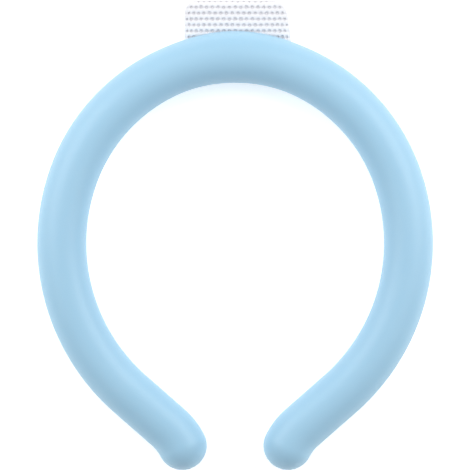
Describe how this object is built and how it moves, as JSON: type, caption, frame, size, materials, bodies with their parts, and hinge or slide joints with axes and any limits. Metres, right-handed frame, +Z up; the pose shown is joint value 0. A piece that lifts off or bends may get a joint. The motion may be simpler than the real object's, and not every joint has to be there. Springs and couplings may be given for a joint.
{
  "type": "cooling neck ring",
  "caption": "Open ring of soft gel-filled tube that is worn round the neck to cool it, with two round tips at the throat and a small net tab at the nape.",
  "frame": {"origin": "on the floor under the middle of the outline as seen from above, tube and tab together", "axes": "+Z up through the ring as it lies on its side, +Y towards the nape and its tab, -Y towards the opening between the tips, +X to the right in the picture"},
  "size_m": [0.166, 0.198, 0.0216],
  "materials": {
    "blue_tube": "satin light blue TPU skin over gel",
    "white_net": "white knitted net, plain hem"
  },
  "bodies": {
    "root": {"cooling_tube": "blue_tube", "mesh_tab": "white_net"}
  },
  "joints": []
}
